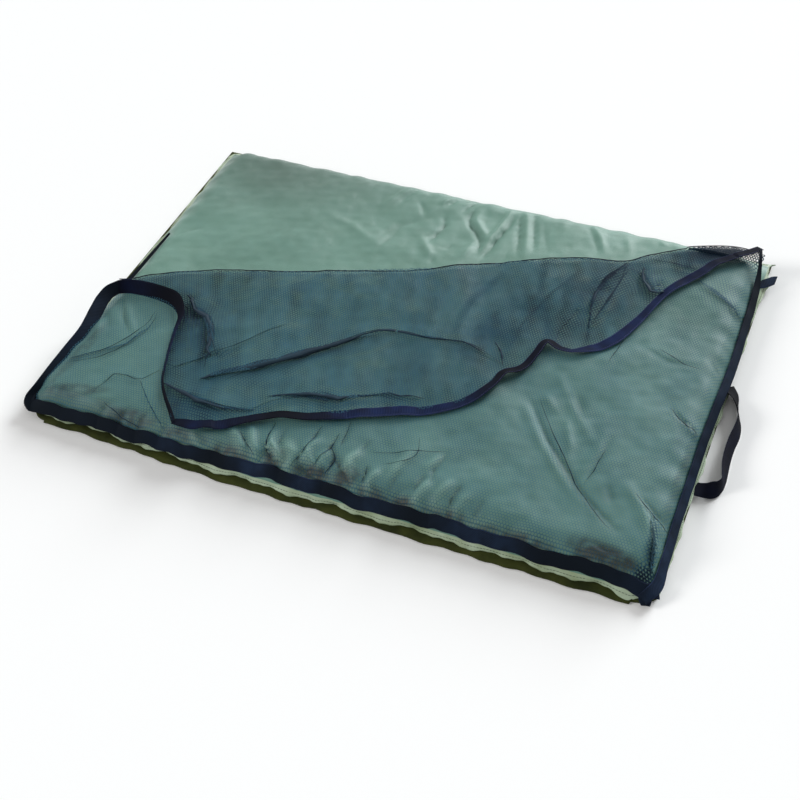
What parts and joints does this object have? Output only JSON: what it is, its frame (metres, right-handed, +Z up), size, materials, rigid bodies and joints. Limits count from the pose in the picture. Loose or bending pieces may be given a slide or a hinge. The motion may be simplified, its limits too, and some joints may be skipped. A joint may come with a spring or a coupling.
{
  "type": "unhooking mat",
  "caption": "Padded landing mat for fish that folds in half, with a turned-back net cover sewn along its edges and a webbing carry handle on a short side.",
  "frame": {"origin": "on the ground under the middle of the mat", "axes": "+X along the long side towards the right half, +Y across from the near side, where the net is sewn, to the far side, +Z up"},
  "size_m": [1.0661, 0.737, 0.0571],
  "materials": {
    "green_fabric": "satin",
    "pale_fabric": "satin",
    "olive_fabric": "matte",
    "foam": "matte",
    "navy_tape": "matte",
    "navy_net": "matte",
    "navy_webbing": "matte"
  },
  "bodies": {
    "right_half": {"foam_core_right": "foam", "top_skin_right": "green_fabric", "bottom_skin_right": "olive_fabric", "fold_panel_top": "green_fabric", "fold_panel_bottom": "olive_fabric", "seam_strip_right": "pale_fabric", "near_tape_right": "navy_tape", "side_tape_right": "navy_tape", "net_panel_right": "navy_net"},
    "left_half": {"foam_core_left": "foam", "top_skin_left": "green_fabric", "bottom_skin_left": "olive_fabric", "seam_strip_left": "pale_fabric", "near_tape_left": "navy_tape", "side_tape_left": "navy_tape", "net_panel_left": "navy_net"},
    "flap_right": {"net_flap_right": "navy_net", "mouth_tape_right": "navy_tape"},
    "flap_left": {"net_flap_left": "navy_net", "mouth_tape_left": "navy_tape", "mouth_tape_side": "navy_tape"},
    "handle_right": {"handle_right": "navy_webbing"}
  },
  "joints": [
    {"name": "mat_fold", "type": "hinge", "parent": "right_half", "child": "left_half", "pos_m": [0, 0, 0.0582], "axis": [0, 1, 0], "range_deg": [0, 180], "deforming": ["fold_panel_top", "fold_panel_bottom"]},
    {"name": "flap_turn_right", "type": "hinge", "parent": "right_half", "child": "flap_right", "pos_m": [0, 0.1255, 0.0548], "axis": [0.9312, 0.3645, 0], "range_deg": [-180, 0]},
    {"name": "flap_turn_left", "type": "hinge", "parent": "left_half", "child": "flap_left", "pos_m": [0, 0.1255, 0.0548], "axis": [0.9312, 0.3645, 0], "range_deg": [-180, 0]},
    {"name": "handle_swing_right", "type": "hinge", "parent": "right_half", "child": "handle_right", "pos_m": [0.5111, -0.05, 0.0059], "axis": [0, -1, 0], "range_deg": [0, 95]}
  ],
  "couplings": [
    {"joint": "flap_turn_left", "follows": "flap_turn_right", "ratio": 1}
  ]
}
